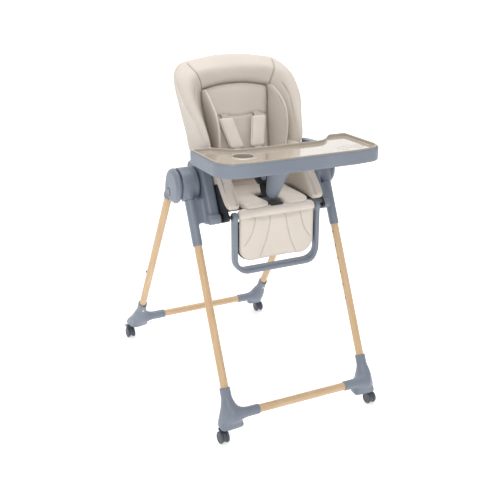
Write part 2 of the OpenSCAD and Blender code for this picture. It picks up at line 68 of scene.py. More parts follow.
# Lines of the frame, in the chair's own millimetres
FRONT_FOOT = (241, 34.5, 163.6)
FRONT_LEAN = math.radians(-24.59)
REAR_FOOT = (250, 727, 171)
REAR_LEAN = math.radians(32)
BACK_HINGE = (0, 392, 668)
BACK_LEAN = math.radians(-14.4)
HUB = (325, 717.5)
FRONT_BAR = (FRONT_BAR_Y, 94)
REAR_BAR = (765, 95)
BOSS = (205, 634)
CALF_HINGE = (166, 645)
TRAY_Z = 812
TRAY_TOP = 852
CUP = (-148, 92)
CUP_R = 33
SEAT_Z = 655
SOCKET_R = 16.5         # castings' sockets over the leg tubes
CASTING_BOTTOM = 43.5   # undersides of the four foot castings
HUB_R = 54              # round part of the fold joints
HUB_CORE_R = 38.8       # recess in the outer half for the inner half's core
BAR_HALF = 141.5        # footrest bar: from the middle to an arm's middle line
BAR_BEND = 42
BAR_BOTTOM = 470
WHEEL_R = 19
WHEEL_TRAIL = 11        # wheel axle in front of the swivel stem
CLOTH_FRAMES = 20


# --- places
def at(x, y, z):
    """Point in the frame, in metres, from the chair's own millimetres."""
    return Vector((x, y + ORIGIN_Y, z)) * MM


def leaned(points, foot, lean):
    """Points local to a leaning line, turned into the chair's own millimetres."""
    x, y, z = np.asarray(points, float).T
    c, s = math.cos(lean), math.sin(lean)
    return np.stack([x + foot[0], y * c - z * s + foot[1], y * s + z * c + foot[2]], axis=-1)


def local(p, foot, lean):
    """Coordinates of the points p along a leaning line."""
    x, y, z = p[0] - foot[0], p[1] - foot[1], p[2] - foot[2]
    c, s = math.cos(lean), math.sin(lean)
    return x, y * c + z * s, -y * s + z * c


def on_back(points):
    """Points [across, up, forward] on the backrest, in the chair's own millimetres."""
    x, up, forward = np.asarray(points, float).T
    return leaned(np.stack([x, -forward, up], axis=-1), BACK_HINGE, BACK_LEAN)


def same(points):
    """Points that are in the chair's own millimetres already."""
    return np.asarray(points, float)


# --- meshes
def placed(name, data):
    """New object in the scene."""
    made = bpy.data.objects.new(name, data)
    bpy.context.scene.collection.objects.link(made)
    return made


def new_piece(name, verts, faces, material):
    """Mesh object from points in the chair's own millimetres."""
    verts = np.asarray(verts, float)
    mesh = bpy.data.meshes.new(name)
    mesh.from_pydata((verts + [0, ORIGIN_Y, 0]) * MM, [], [list(map(int, f)) for f in faces])
    mesh.validate()
    mesh.update()
    mesh.shade_smooth()
    piece = placed(name, mesh)
    mesh.materials.append(material)
    return piece


def settle(piece, *modifiers):
    """Adds modifiers given as (type, {setting: value}) and applies them to the mesh."""
    for kind, settings in modifiers:
        modifier = piece.modifiers.new(kind.lower(), kind)
        for key, value in settings.items():
            setattr(modifier, key, value)
    graph = bpy.context.evaluated_depsgraph_get()
    mesh = bpy.data.meshes.new_from_object(piece.evaluated_get(graph))
    old = piece.data
    piece.modifiers.clear()
    piece.data = mesh
    bpy.data.meshes.remove(old)
    mesh.shade_smooth()
    return piece


def subdivided(piece, levels):
    """The same piece with its surface subdivided."""
    return settle(piece, ("SUBSURF", {"levels": levels, "render_levels": levels}))


def grid(name, rows, material, ring=True, caps=True):
    """Skin through rows of points; ring closes each row on itself and caps close the ends."""
    rows = np.asarray(rows, float)
    n, m = rows.shape[:2]
    faces = []
    for i in range(n - 1):
        for j in range(m if ring else m - 1):
            k = (j + 1) % m
            faces.append((i * m + j, i * m + k, (i + 1) * m + k, (i + 1) * m + j))
    if ring and caps:
        faces.append(tuple(range(m - 1, -1, -1)))
        faces.append(tuple((n - 1) * m + j for j in range(m)))
    piece = new_piece(name, rows.reshape(-1, 3), faces, material)
    outward(piece)
    return piece


def outward(piece):
    """Turns every face of a closed mesh outwards."""
    work = bmesh.new()
    work.from_mesh(piece.data)
    bmesh.ops.recalc_face_normals(work, faces=work.faces)
    work.to_mesh(piece.data)
    work.free()


def mirrored(points, side):
    """Points drawn on the +X side, moved to a side."""
    points = np.array(points, float)
    points[..., 0] *= side
    return points


def spread(line, count):
    """The same polyline as count points, smoothed through its corners."""
    line = np.asarray(line, float)
    t = np.linspace(0, len(line) - 1, count)
    padded_line = np.vstack([2 * line[0] - line[1], line, 2 * line[-1] - line[-2]])
    i = np.minimum(t.astype(int), len(line) - 2)
    f = (t - i)[:, None]
    a, b, c, d = (padded_line[i + k] for k in range(4))
    return 0.5 * (2 * b + (c - a) * f + (2 * a - 5 * b + 4 * c - d) * f**2 + (3 * b - a - 3 * c + d) * f**3)


# --- solids from distances
def rounded_max(a, b, r):
    """Where two solids overlap, with the shared edge rounded."""
    a, b = a + r, b + r
    return np.minimum(np.maximum(a, b), 0) + np.hypot(np.maximum(a, 0), np.maximum(b, 0)) - r


def between(v, low, high):
    """Slab from low to high."""
    return np.maximum(low - v, v - high)


def cylinder(p, axis, centre, r, low, high, edge=1.5):
    """Rod along an axis, with rounded rims."""
    a, b = (i for i in range(3) if i != axis)
    return rounded_max(np.hypot(p[a] - centre[0], p[b] - centre[1]) - r, between(p[axis], low, high), edge)


def convex(u, v, circles, directions=56):
    """Distance to the stretched outline round circles given as (u, v, radius)."""
    best = None
    for k in range(directions):
        c, s = math.cos(math.tau * k / directions), math.sin(math.tau * k / directions)
        d = u * c + v * s - max(cu * c + cv * s + r for cu, cv, r in circles)
        best = d if best is None else np.maximum(best, d)
    return best


def hull(p, balls, directions=180):
    """Distance to the stretched skin round balls given as (x, y, z, radius)."""
    best = None
    for k in range(directions):
        z = 1 - 2 * (k + 0.5) / directions
        turn, flat = k * math.pi * (3 - math.sqrt(5)), math.sqrt(1 - z * z)
        n = (flat * math.cos(turn), flat * math.sin(turn), z)
        reach = max(sum(b[i] * n[i] for i in range(3)) + b[3] for b in balls)
        d = p[0] * n[0] + p[1] * n[1] + p[2] * n[2] - reach
        best = d if best is None else np.maximum(best, d)
    return best


def join(a, b, k):
    """Union of two solids with a fillet of about k."""
    h = np.clip(0.5 + 0.5 * (b - a) / k, 0, 1)
    return b * (1 - h) + a * h - k * h * (1 - h)


def cut(a, b, k):
    """Solid a without solid b, with the new edge eased."""
    return -join(-a, b, k)


def net(name, field, low, high, step, material, side=1):
    """Smooth mesh of the surface where field(p) is 0, for a solid drawn on the +X side."""
    axes = [np.arange(low[i], high[i] + step, step) for i in range(3)]
    f = field(np.meshgrid(*axes, indexing="ij"))
    cells = tuple(k - 1 for k in f.shape)
    total, count = np.zeros(cells + (3,)), np.zeros(cells)
    for axis in range(3):
        for i in (0, 1):
            for j in (0, 1):
                start = [i, i, i]
                others = [k for k in range(3) if k != axis]
                start[others[0]], start[others[1]], start[axis] = i, j, 0
                end = list(start)
                end[axis] = 1
                fa, fb = (f[tuple(slice(c, c + cells[k]) for k, c in enumerate(e))] for e in (start, end))
                crossed = (fa < 0) != (fb < 0)
                share = np.where(crossed, fa / np.where(crossed, fa - fb, 1), 0)
                for k in range(3):
                    total[..., k] += crossed * (share if k == axis else start[k])
                count += crossed
    used = count > 0
    index = np.full(cells, -1)
    index[used] = np.arange(used.sum())
    corner = np.stack(np.nonzero(used), axis=-1)
    verts = (corner + total[used] / count[used][:, None]) * step + np.array(low, float)
    faces = []
    for axis in range(3):
        o1, o2 = (axis + 1) % 3, (axis + 2) % 3
        part = [slice(1, cells[k]) for k in range(3)]
        part[axis] = slice(0, cells[axis])
        after = list(part)
        after[axis] = slice(1, cells[axis] + 1)
        fa, fb = f[tuple(part)] < 0, f[tuple(after)] < 0
        for out in (True, False):
            where = np.stack(np.nonzero((fa != fb) & (fa == out)), axis=-1)
            where = where + [0 if k == axis else 1 for k in range(3)]
            shifts = [(0, 0), (1, 0), (1, 1), (0, 1)]
            ids = []
            for s1, s2 in shifts if out else shifts[::-1]:
                cell = where.copy()
                cell[:, o1] -= s1
                cell[:, o2] -= s2
                ids.append(index[tuple(cell.T)])
            faces.append(np.stack(ids, axis=-1))
    faces = np.vstack(faces)
    if side < 0:
        verts[:, 0] *= -1
        faces = faces[:, ::-1]
    piece = new_piece(name, verts, faces, material)
    return settle(piece, ("SMOOTH", {"factor": 0.5, "iterations": 3}))


# --- materials
def srgb(code):
    """Linear colour from a hex code."""
    parts = [int(code[i:i + 2], 16) / 255 for i in (0, 2, 4)]
    return tuple(c / 12.92 if c < 0.04045 else ((c + 0.055) / 1.055) ** 2.4 for c in parts) + (1,)


class Shader:
    """Node material under construction."""

    def __init__(self, name):
        self.material = bpy.data.materials.new(name)
        self.material.use_nodes = True
        self.tree = self.material.node_tree
        self.bsdf = self.tree.nodes["Principled BSDF"]
        self.place = self.node("ShaderNodeTexCoord").outputs["Object"]

    def feed(self, socket, value):
        """Links a socket to another one, or sets its constant."""
        if hasattr(value, "is_linked"):
            self.tree.links.new(value, socket)
        else:
            socket.default_value = value

    def node(self, kind, **inputs):
        made = self.tree.nodes.new(kind)
        for key, value in inputs.items():
            self.feed(made.inputs[key.replace("_", " ")], value)
        return made

    def stretch(self, lean=0.0, scale=(1, 1, 1)):
        """Coordinates turned back by lean about X, then scaled."""
        turned = self.node("ShaderNodeMapping", Vector=self.place)
        turned.vector_type = "POINT"
        turned.inputs["Rotation"].default_value = (-lean, 0, 0)
        scaled = self.node("ShaderNodeMapping", Vector=turned.outputs[0])
        scaled.inputs["Scale"].default_value = scale
        return scaled.outputs[0]

    def noise(self, scale, detail=3.0, vector=None, rough=0.55):
        return self.node("ShaderNodeTexNoise", Vector=vector or self.place, Scale=scale, Detail=detail,
                         Roughness=rough).outputs["Fac"]

    def ramp(self, value, stops):
        made = self.node("ShaderNodeValToRGB", Fac=value)
        elements = made.color_ramp.elements
        while len(elements) < len(stops):
            elements.new(0.5)
        for element, (position, colour) in zip(elements, stops):
            element.position = position
            element.color = colour
        return made.outputs["Color"]

    def span(self, value, low, high):
        """A 0..1 value mapped to low..high."""
        made = self.node("ShaderNodeMapRange", Value=value)
        made.inputs["To Min"].default_value = low
        made.inputs["To Max"].default_value = high
        return made.outputs["Result"]

    def mix(self, factor, a, b):
        made = self.tree.nodes.new("ShaderNodeMix")
        made.data_type = "RGBA"
        for socket, value in zip((made.inputs[0], made.inputs[6], made.inputs[7]), (factor, a, b)):
            self.feed(socket, value)
        return made.outputs[2]

    def bump(self, *heights):
        """Stacks (height, distance in metres) layers of bump."""
        normal = None
        for height, distance in heights:
            made = self.node("ShaderNodeBump", Height=height, Distance=distance, Strength=1.0)
            if normal:
                self.tree.links.new(normal, made.inputs["Normal"])
            normal = made.outputs["Normal"]
        self.tree.links.new(normal, self.bsdf.inputs["Normal"])

    def finish(self, colour, rough, **constants):
        self.tree.links.new(colour, self.bsdf.inputs["Base Color"])
        self.tree.links.new(rough, self.bsdf.inputs["Roughness"])
        for key, value in constants.items():
            self.bsdf.inputs[key.replace("_", " ")].default_value = value
        return self.material


def tone(colour, factor):
    """The colour made lighter or darker by a factor."""
    return tuple(c * factor for c in colour[:3]) + (1,)


def plastic(name, code, rough=0.42, grain=0.00006):
    """Moulded plastic: fine spark-eroded grain and faint flow marks."""
    s = Shader(name)
    colour = srgb(code)
    cloud = s.noise(9, 2)
    base = s.ramp(cloud, [(0.3, tone(colour, 0.93)), (0.7, tone(colour, 1.06))])
    fine = s.noise(1400, 2)
    s.bump((fine, grain), (s.noise(38, 1), 0.0002))
    return s.finish(base, s.span(s.noise(60, 3), rough - 0.07, rough + 0.08), Coat_Weight=0.06)


def leatherette(name, code):
    """Matt coated fabric: pebble grain, soft colour drift and painted shade in the sunk seams."""
    s = Shader(name)
    colour = srgb(code)
    base = s.ramp(s.noise(7, 3), [(0.3, tone(colour, 0.95)), (0.72, tone(colour, 1.04))])
    pebbles = s.node("ShaderNodeTexVoronoi", Vector=s.place, Scale=620.0).outputs["Distance"]
    base = s.mix(s.span(pebbles, 0.0, 0.16), base, tone(colour, 0.8))
    # The "seam" attribute paints shade into the seam creases: the colour darkens there as if in shadow.
    seam = s.node("ShaderNodeAttribute")
    seam.attribute_name = "seam"
    base = s.mix(seam.outputs["Fac"], base, tone(colour, 0.24))
    s.bump((pebbles, 0.00012), (s.noise(130, 3), 0.00025), (s.noise(22, 2), 0.0012))
    return s.finish(base, s.span(s.noise(90, 3), 0.5, 0.66), Sheen_Weight=0.12, Sheen_Roughness=0.5)


def wood(name, lean, along_x=False):
    """Printed beech: long fine fibres along the tube, short dark flecks and slow bands."""
    s = Shader(name)
    scale = (0.035, 1, 1) if along_x else (1, 1, 0.035)
    fibres = s.noise(330, 5, s.stretch(lean, scale), 0.62)
    bands = s.noise(62, 3, s.stretch(lean, scale), 0.5)
    flecks = s.noise(900, 2, s.stretch(lean, tuple(0.11 if c < 1 else 1 for c in scale)), 0.5)
    base = s.ramp(fibres, [(0.28, srgb("b5956f")), (0.5, srgb("c8ac89")), (0.74, srgb("d6c1a2"))])
    base = s.mix(s.span(bands, 0.0, 0.55), base, srgb("c9a377"))
    dark = s.ramp(flecks, [(0.64, (0, 0, 0, 1)), (0.72, (0.5, 0.5, 0.5, 1))])
    base = s.mix(dark, base, srgb("a67d52"))
    s.bump((fibres, 0.0001))
    return s.finish(base, s.span(fibres, 0.42, 0.56), Coat_Weight=0.1, Coat_Roughness=0.3)


def webbing(name, code):
    """Woven strap: two crossed fine waves."""
    s = Shader(name)
    colour = srgb(code)
    weave = []
    for direction in ("X", "Z"):
        wave = s.node("ShaderNodeTexWave", Vector=s.place, Scale=190.0, Distortion=0.4)
        wave.bands_direction = direction
        weave.append(wave.outputs["Fac"])
    base = s.mix(weave[0], tone(colour, 0.72), tone(colour, 1.1))
    base = s.mix(s.span(weave[1], 0.0, 0.4), base, tone(colour, 0.62))
    s.bump((weave[0], 0.0003), (weave[1], 0.0003))
    return s.finish(base, s.span(s.noise(300, 2), 0.7, 0.85), Sheen_Weight=0.2)


def metal(name, code):
    """Zinc plated steel with a fine grain."""
    s = Shader(name)
    base = s.ramp(s.noise(300, 2), [(0.3, tone(srgb(code), 0.9)), (0.7, srgb(code))])
    s.bump((s.noise(2000, 1), 0.00002))
    return s.finish(base, s.span(s.noise(240, 2), 0.22, 0.36), Metallic=1.0)


def gloss(name, code):
    """Glossy moulded tray liner with faint wiping marks."""
    s = Shader(name)
    base = s.ramp(s.noise(5, 2), [(0.3, tone(srgb(code), 0.97)), (0.7, tone(srgb(code), 1.03))])
    s.bump((s.noise(14, 1), 0.0003))
    return s.finish(base, s.span(s.noise(45, 4), 0.05, 0.13), Coat_Weight=0.7, Coat_Roughness=0.04)


SLATE = plastic("slate", "777f8b")
BLACK = plastic("black", "1c1d21", 0.38)
WHEEL = plastic("caster_grey", "4b5059", 0.5)
LEATHER = leatherette("leatherette_sand", "cbc1b6")
LEATHER_PALE = leatherette("leatherette_pale", "d6ccc1")
WOOD_FRONT = wood("beech_front", FRONT_LEAN)
WOOD_REAR = wood("beech_rear", REAR_LEAN)
WOOD_BAR = wood("beech_bar", 0, along_x=True)
STRAP = webbing("webbing_sand", "c6bcae")
STRAP_DARK = webbing("webbing_dark", "2b2b2f")
STEEL = metal("steel", "c9ccd0")
TRAY_GLOSS = gloss("tray_gloss", "aba092")


def belongs(piece, body, *nodes):
    """Rides on a body and stands for CAD nodes, which it hides."""
    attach(piece, body)
    if nodes:
        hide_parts(*nodes)
    return piece


# --- castings
def front_foot(p):
    """Casting that joins a front leg, the front crossbar and a caster."""
    leg = local(p, FRONT_FOOT, FRONT_LEAN)
    socket = cylinder(leg, 2, (0, 0), SOCKET_R, -92, 0, 1.6)
    bar = cylinder(p, 0, FRONT_BAR, 15.2, 150, 238, 1.6)
    plate = hull(p, [(241, 14, 118, 15), (241, -4, 92, 16), (208, -8, 53, 9), (262, -8, 53, 10),
                     (210, 14, 53, 9), (262, 16, 53, 10)])
    body = join(join(socket, bar, 44), plate, 14)
    return rounded_max(body, CASTING_BOTTOM - p[2], 2)


def rear_foot(p):
    """Casting that joins a rear leg, the rear crossbar and a caster."""
    leg = local(p, REAR_FOOT, REAR_LEAN)
    socket = cylinder(leg, 2, (0, 0), SOCKET_R, -100, 0, 1.6)
    bar = cylinder(p, 0, REAR_BAR, 15.2, 154, 246, 1.6)
    plate = hull(p, [(250, 762, 118, 15), (251, 779, 90, 15), (224, 792, 60, 10), (228, 808, 53, 9),
                     (266, 800, 54, 10), (240, 836, 53, 9), (271, 838, 53, 10)])
    return rounded_max(join(join(socket, bar, 40), plate, 14), CASTING_BOTTOM - p[2], 2)


HUB_OUTLINE = [(HUB[0], HUB[1], HUB_R), (HUB[0] + 22, HUB[1] + 24, 21), (HUB[0] + 40, HUB[1] - 16, 20)]
BUTTON = (HUB[0] + 22, HUB[1] - 22)


def hub_outer(p):
    """Domed outer half with the mouth of the rear leg, a button well and two thin ribs."""
    outline = convex(p[1], p[2], HUB_OUTLINE)
    dome = rounded_max(outline, between(p[0], 257.4, 279), 13)
    leg = local(p, REAR_FOOT, REAR_LEAN)
    mouth = np.maximum(cylinder(leg, 2, (0, 0), SOCKET_R, 573, 684, 1.6), between(p[0], 231, 268))
    body = join(dome, mouth, 8)
    recess = np.hypot(p[1] - HUB[0], p[2] - HUB[1]) - HUB_CORE_R
    body = cut(body, np.maximum(recess, p[0] - 257.5), 0.4)
    body = cut(body, cylinder(p, 0, BUTTON, 12.2, 266, 290, 0.5), 1.2)
    for y, z, radius in ((HUB[0] - 8, HUB[1] + 4, 31), (HUB[0] - 34, HUB[1] + 22, 58)):
        ring = np.hypot(np.hypot(p[1] - y, p[2] - z) - radius, p[0] - 279.4) - 1.5
        body = cut(body, np.maximum(ring, p[2] - HUB[1] - 8), 0.8)
    return body


def hub_inner(p):
    """Inner half: drum, core and the socket over the front leg."""
    radial = np.hypot(p[1] - HUB[0], p[2] - HUB[1])
    drum = rounded_max(radial - HUB_R, between(p[0], 204, 229.4), 5)
    core = np.maximum(radial - HUB_CORE_R + 0.6, between(p[0], 225, 256.6))
    angle = np.degrees(np.arctan2(p[2] - HUB[1], p[1] - HUB[0])) % 360
    sector = rounded_max(radial - HUB_R, between(p[0], 222, 256.6), 1.2)
    sector = np.maximum(sector, between(angle, 75, 235))
    leg = local(p, FRONT_FOOT, FRONT_LEAN)
    socket = np.maximum(cylinder(leg, 2, (0, 0), 15.6, 572.4, 622, 1.2), between(p[0], 205, 256.6))
    return join(np.minimum(drum, core), join(sector, socket, 14), 1.5)


FIN = [(-24, 506, 15), (12, 502, 10), (-25, 684, 12), (54, 678, 22), (24, 604, 6)]


def slider(p):
    """Sleeve, web, arm panel, boss and arm rail of one side of the seat carriage, in one casting."""
    leg = local(p, FRONT_FOOT, FRONT_LEAN)
    sleeve = cylinder(leg, 2, (0, 0), 15, 430, 571.6, 1.5)
    web = rounded_max(rounded_max(between(leg[1], -9, 9), between(leg[2], 496, 569), 3),
                      between(leg[0], -68, -4), 3)
    panel = rounded_max(convex(leg[1], leg[2], FIN), between(p[0], 168, 200), 6)
    boss = cylinder(p, 0, BOSS, 16, 172, 208, 2)
    rail_plan = convex(p[0], p[1], [(182, 212, 12), (206, 212, 12), (206, 256, 12), (182, 298, 12),
                                    (190, 298, 12)])
    rail = rounded_max(rail_plan, between(p[2], 790, 807), 5)
    tail_plan = convex(p[0], p[1], [(181.5, 290, 12), (190.5, 290, 12), (181.5, 330, 12), (190.5, 330, 12)])
    tail = rounded_max(tail_plan, between(p[2], 790, 807), 5)
    guide_plan = convex(p[0], p[1], [(202, 232, 9), (202, 256, 9), (187, 300, 9), (187, 326, 9)])
    guide = rounded_max(guide_plan, between(p[2], 803, 822), 3)
    body = join(sleeve, join(panel, web, 12), 9)
    body = join(body, join(np.minimum(rail, tail), guide, 4), 12)
    body = join(body, boss, 4)
    oval = convex(leg[0], leg[2], [(-28, 520, 7.6), (-28, 544, 7.6)])
    return cut(body, np.maximum(oval, -6.4 - leg[1]), 0.6)


def footrest_bar(p):
    """U of a round tube that widens to a flat tread."""
    side, y, z = np.abs(p[0]), p[1] - CALF_HINGE[0], p[2]
    corner = np.hypot(side - BAR_HALF + BAR_BEND, z - BAR_BOTTOM - BAR_BEND) - BAR_BEND
    low = np.where(side > BAR_HALF - BAR_BEND, corner, BAR_BOTTOM - z)
    line = np.where(z > BAR_BOTTOM + BAR_BEND, side - BAR_HALF, low)
    arm = rounded_max(np.abs(line) - 7.4, np.abs(y) - 13.5, 6.2)
    tread = rounded_max(np.abs(line) - 7.4, np.abs(y) - 19.5, 4.5)
    share = np.clip((500 - z) / 34, 0, 1)
    share = share * share * (3 - 2 * share)
    bar = np.maximum(arm * (1 - share) + tread * share, z - 646)
    cap = rounded_max(np.hypot(y, z - CALF_HINGE[1]) - 13.5, between(side, 134.0, 149), 3)
    return join(bar, cap, 6)


def casting(name, field, low, high, body, step=2.0, both=True):
    """Makes a moulded part, on both sides of the chair or once, that stands for its CAD node."""
    for key, side in SIDES.items() if both else {"": 1}.items():
        suffix = "_" + key if both else ""
        piece = net("cast_" + name + suffix, field, low, high, step, SLATE, side)
        belongs(piece, body, name + suffix)


casting("front_foot", front_foot, (146, -40, 38), (284, 60, 172), "front_frame")
casting("rear_foot", rear_foot, (150, 715, 38), (292, 860, 190), "rear_frame")
casting("hub_outer", hub_outer, (228, 262, 640), (284, 446, 780), "rear_frame", 1.7)
casting("hub_inner", hub_inner, (200, 248, 655), (260, 388, 780), "front_frame", 1.7)
casting("slider", slider, (160, 180, 540), (262, 400, 830), "seat_carriage", 1.9)
casting("footrest_bar", footrest_bar, (-156, 140, 456), (156, 192, 662), "legrest", 2.0, both=False)


def tray_outline(x, y, d):
    """Plan of the tray drawn in by d: a bowed front with round corners, less the seat cut-out."""
    side = np.abs(x)
    plan = convex(side, y, [(203, 46, 62 - d), (253, 196, 12 - d), (0, 196, 12 - d), (100, 70, 89 - d),
                            (0, 70, 91 - d)])
    bay = convex(side, y, [(118, 202, 55 + d), (0, 202, 55 + d), (212 + d, 238, 8), (0, 258, 8)])
    return rounded_max(plan, -bay, 5)


def tray_base(p):
    """Tray shell: rim, hollow underside, cup well, two runners and the latch slots."""
    top = TRAY_TOP
    body = rounded_max(tray_outline(p[0], p[1], 0), between(p[2], TRAY_Z, top), 3)
    hollow = np.maximum(tray_outline(p[0], p[1], 4.2), p[2] - (top - 12))
    well = np.maximum(tray_outline(p[0], p[1], 5), top - 8 - p[2])
    body = cut(cut(body, hollow, 1.5), well, 1.2)
    cup = cylinder(p, 2, CUP, CUP_R + 3, 794, top - 8, 3)
    runners = rounded_max(between(p[1], 130, 196), between(p[2], 807.5, 842), 2)
    runners = rounded_max(between(np.abs(p[0]), 198, 212), runners, 2)
    body = join(body, cup, 4)
    inside_cup = np.maximum(np.hypot(p[0] - CUP[0], p[1] - CUP[1]) - CUP_R, 797 - p[2])
    body = cut(np.minimum(body, runners), inside_cup, 1)
    latch = np.maximum(195 - p[1], between(p[2], 825.6, 838.4))
    latch = np.maximum(between(np.abs(p[0]), 217.6, 244.4), latch)
    return cut(body, latch, 1)


def tray_insert(p):
    """Glossy liner: floor, raised lip, cup well with a ring and a three-lobed snack well."""
    floor_z = TRAY_TOP - 8.6
    body = rounded_max(tray_outline(p[0], p[1], 5.4), between(p[2], floor_z, floor_z + 12), 1.6)
    inside = np.maximum(tray_outline(p[0], p[1], 9.4), floor_z + 2.6 - p[2])
    body = cut(body, inside, 2.5)
    reach = np.hypot(p[0] - CUP[0], p[1] - CUP[1])
    cup = np.maximum(reach - CUP_R + 0.8, between(p[2], 797.8, floor_z + 4.6))
    body = join(body, cup, 2)
    body = cut(body, np.maximum(reach - CUP_R + 4, 800.4 - p[2]), 1.5)
    ring = np.hypot(reach - 38, p[2] - floor_z - 2.4) - 1.6
    lobes = None
    for x, y in ((160, 56), (186, 72), (212, 56)):
        lobe = np.hypot(np.hypot(p[0] - x, p[1] - y) - 15, p[2] - floor_z - 2.4) - 1.5
        lobes = lobe if lobes is None else np.minimum(lobes, lobe)
    return join(body, np.minimum(ring, lobes), 1.5)


belongs(net("tray_shell", tray_base, (-270, -26, 790), (270, 214, 856), 2.2, SLATE), "tray", "tray_base")
belongs(net("tray_liner", tray_insert, (-264, -20, 794), (264, 208, 859), 1.8, TRAY_GLOSS), "tray_insert",
        "tray_insert")


def tray_post():
    """Crotch post under the tray: ellipses that shrink and lean back."""
    stations = [(124, 812, 40, 27), (126, 808, 39, 27), (136, 792, 37, 29), (152, 770, 34, 30),
                (168, 744, 30, 27), (181, 716, 25.5, 23), (189, 698, 22, 20), (192, 684, 17, 15),
                (193, 677.5, 9, 8)]
    turns = np.linspace(0, math.tau, 24, endpoint=False)
    rows = [[(rx * math.cos(a), y + ry * math.sin(a), z) for a in turns] for y, z, rx, ry in stations]
    piece = subdivided(grid("tray_crotch_post", rows, SLATE), 2)
    belongs(piece, "tray", "tray_post")


tray_post()


# --- soft goods
def inflate(piece, voxel, cap, pressure=4.0):
    """Swells a closed pad by a cloth simulation; no point moves further than cap."""
    settle(piece, ("REMESH", {"mode": "VOXEL", "voxel_size": voxel * MM}),
           ("SMOOTH", {"factor": 0.5, "iterations": 4}))
    rest = points_of(piece)
    cloth = piece.modifiers.new("cloth", "CLOTH")
    cloth.settings.quality = 4
    cloth.settings.tension_stiffness = cloth.settings.compression_stiffness = 18
    cloth.settings.bending_stiffness = 1.2
    cloth.settings.use_pressure = True
    cloth.settings.uniform_pressure_force = pressure
    cloth.settings.effector_weights.gravity = 0
    cloth.collision_settings.use_collision = False
    cloth.point_cache.frame_start, cloth.point_cache.frame_end = 1, CLOTH_FRAMES
    for number in range(1, CLOTH_FRAMES + 1):
        bpy.context.scene.frame_set(number)
    settle(piece)
    moved = points_of(piece) - rest
    far = np.linalg.norm(moved, axis=1)[:, None] + 1e-12
    set_points(piece, rest + moved * (cap * MM) * np.tanh(far / (cap * MM)) / far)
    bpy.context.scene.frame_set(1)
    return subdivided(piece, 1)


def points_of(piece):
    """Vertices in the frame, in metres."""
    points = np.zeros(len(piece.data.vertices) * 3)
    piece.data.vertices.foreach_get("co", points)
    return points.reshape(-1, 3)


def set_points(piece, points):
    piece.data.vertices.foreach_set("co", points.astype(np.float32).ravel())
    piece.data.update()


def to_back(points):
    """[across, up, forward] in millimetres of points in the frame's metres."""
    x, y, z = (np.asarray(points) / MM - [0, ORIGIN_Y, 0]).T
    across, back, up = local((x, y, z), BACK_HINGE, BACK_LEAN)
    return np.stack([across, up, -back], axis=-1)


def to_chair(points):
    """The chair's own millimetres of points in the frame's metres."""
    return np.asarray(points) / MM - [0, ORIGIN_Y, 0]


def press(piece, seams, to_local, plane, width=2.6, depth=2.4, keep=None, crease_shade=1.0):
    """Draws seams into a pad: near each line the surface sinks, and painted shade for the seam crease is
    stored.
    """
    points = points_of(piece)
    flat = to_local(points)
    near = np.full(len(points), 1e9)
    for seam in seams:
        for q in spread(seam, 90):
            near = np.minimum(near, np.hypot(flat[:, plane[0]] - q[0], flat[:, plane[1]] - q[1]))
    if keep is not None:
        near[~keep(flat)] = 1e9
    normals = np.zeros(len(points) * 3)
    piece.data.vertices.foreach_get("normal", normals)
    fall = np.exp(-((near / width) ** 2))
    set_points(piece, points - normals.reshape(-1, 3) * (fall * depth * MM)[:, None])
    shade = piece.data.attributes.get("seam")
    if shade is None:
        shade = piece.data.attributes.new("seam", "FLOAT", "POINT")
    before = np.zeros(len(points), np.float32)
    shade.data.foreach_get("value", before)
    # Strength of the painted crease shade near the seam line, kept in the "seam" attribute.
    now = crease_shade * np.exp(-((near / (0.5 * width)) ** 2))
    shade.data.foreach_set("value", np.maximum(before, now).astype(np.float32))


# Half of the backrest's bowl from its lower end to the middle of the top. Each row is the root beside
# the middle cushion, two points up the inner slope, the outer crest, and where it meets the shell, as
# (across, up, forward).
BOWL = [
    [(108, 50, 12), (122, 52, 40), (134, 52, 62), (142, 52, 62), (139, 50, -13)],
    [(110, 92, 13), (126, 93, 52), (144, 93, 92), (156, 94, 92), (154, 92, -13)],
    [(112, 138, 14), (130, 139, 64), (151, 138, 122), (166, 138, 128), (170, 138, -13)],
    [(114, 180, 15), (134, 184, 62), (157, 190, 116), (177, 192, 116), (173, 185, -13)],
    [(117, 222, 16), (138, 226, 56), (164, 230, 102), (189, 232, 100), (178, 225, -13)],
    [(120, 255, 18), (142, 260, 52), (171, 264, 89), (200, 268, 84), (182, 262, -13)],
    [(122, 288, 21), (144, 294, 48), (175, 300, 74), (203, 304, 65), (186, 298, -13)],
    [(119, 317, 25), (138, 326, 43), (170, 338, 57), (202.5, 342, 42), (189, 336, -13)],
    [(100, 326, 26), (112, 344, 38), (146, 364, 45), (188, 374, 21), (184, 374, -13)],
    [(76, 332, 26), (84, 352, 38), (112, 376, 40), (154, 398, 12), (161, 401, -13)],
    [(50, 336, 26), (55, 354, 38), (72, 380, 38), (104, 412, 8), (107, 411, -13)],
    [(25, 338, 26), (27, 356, 38), (36, 382, 37), (52, 418, 6), (54, 419, -13)],
    [(0, 339, 26), (0, 357, 38), (0, 383, 36), (0, 420, 6), (0, 421, -13)],
]
RING_STEPS = 5


def closed_spread(ring, steps):
    """A closed ring as a smooth curve through its points, with steps points for each."""
    count = len(ring)
    padded_ring = np.concatenate([ring[-2:], ring, ring[:3]])
    return spread(padded_ring, (count + 4) * steps + 1)[2 * steps:(2 + count) * steps]


